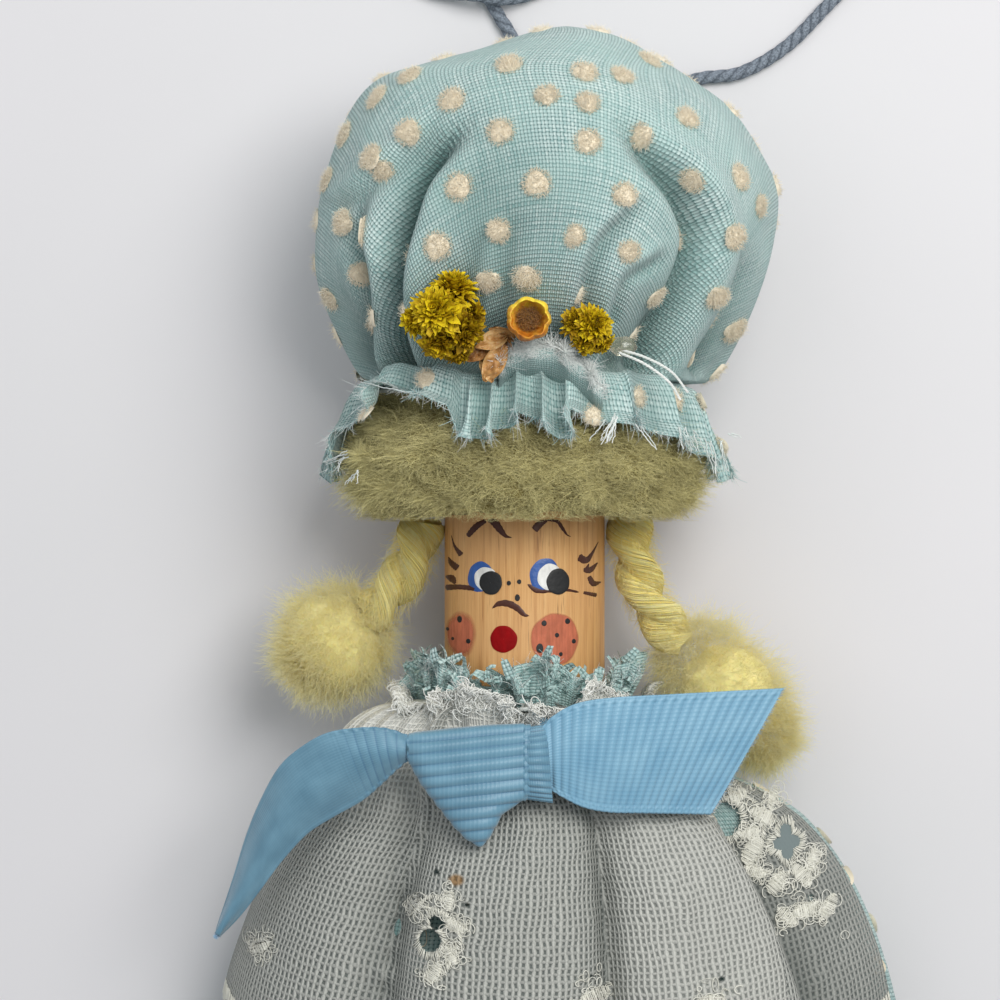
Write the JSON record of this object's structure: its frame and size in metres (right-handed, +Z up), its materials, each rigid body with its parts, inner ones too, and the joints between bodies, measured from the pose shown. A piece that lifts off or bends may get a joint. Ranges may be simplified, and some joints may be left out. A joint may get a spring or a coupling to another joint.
{
  "type": "clothespin doll",
  "caption": "Wooden clothespin doll lying on its back, in a stuffed dotted mob cap, wool hair with plaits, dotted dress, eyelet cape, ribbon bow and hanging cord.",
  "frame": {"origin": "on the table, under the middle of the doll's length and width, cord apart", "axes": "+X to the doll's left as it lies face up (image right), +Y from the feet to the head, +Z up from the table"},
  "size_m": [0.0649, 0.1527, 0.0309],
  "materials": {
    "wood": "bare sanded beech",
    "fibrefill": "loose fibre",
    "dotted_cloth": "plain weave with flocked dots",
    "thread": "cotton thread",
    "wool_pile": "wool pile",
    "roving": "twisted wool roving",
    "eyelet": "open weave with embroidery",
    "grosgrain": "ribbed ribbon",
    "dried_petals": "dried petals",
    "dried_papery": "papery dried bud",
    "dried_brown": "dried sepals",
    "glue": "dried clear glue",
    "cord": "twisted cord"
  },
  "bodies": {
    "doll": {"clothespin": "wood", "cap_stuffing": "fibrefill", "mob_cap": "dotted_cloth", "cap_thread": "thread", "wool_fringe": "wool_pile", "hair_roving": "roving", "dotted_dress": "dotted_cloth", "neck_thread": "thread", "eyelet_cape": "eyelet", "ribbon_band": "grosgrain", "ribbon_knot": "grosgrain", "large_flower": "dried_petals", "small_flower": "dried_petals", "papery_bud": "dried_papery", "dried_sepals": "dried_brown", "glue_dab": "glue", "hanging_cord": "cord"},
    "left_plait": {"left_plait": "roving"},
    "right_plait": {"right_plait": "roving"},
    "left_ribbon_tail": {"ribbon_left_tail": "grosgrain"},
    "right_ribbon_tail": {"ribbon_right_tail": "grosgrain"}
  },
  "joints": [
    {"name": "left_plait_swing", "type": "hinge", "parent": "doll", "child": "left_plait", "pos_m": [-0.0086, 0.01855, 0.011], "axis": [0, 0, -1], "range_deg": [0, 30]},
    {"name": "right_plait_swing", "type": "hinge", "parent": "doll", "child": "right_plait", "pos_m": [0.0086, 0.01855, 0.011], "axis": [0, 0, 1], "range_deg": [0, 30]},
    {"name": "left_tail_lift", "type": "hinge", "parent": "doll", "child": "left_ribbon_tail", "pos_m": [-0.0101, 0.0011, 0.02235], "axis": [0, 1, 0], "range_deg": [0, 60]},
    {"name": "right_tail_lift", "type": "hinge", "parent": "doll", "child": "right_ribbon_tail", "pos_m": [0.0029, 0.0011, 0.02235], "axis": [0, -1, 0], "range_deg": [0, 60]}
  ]
}
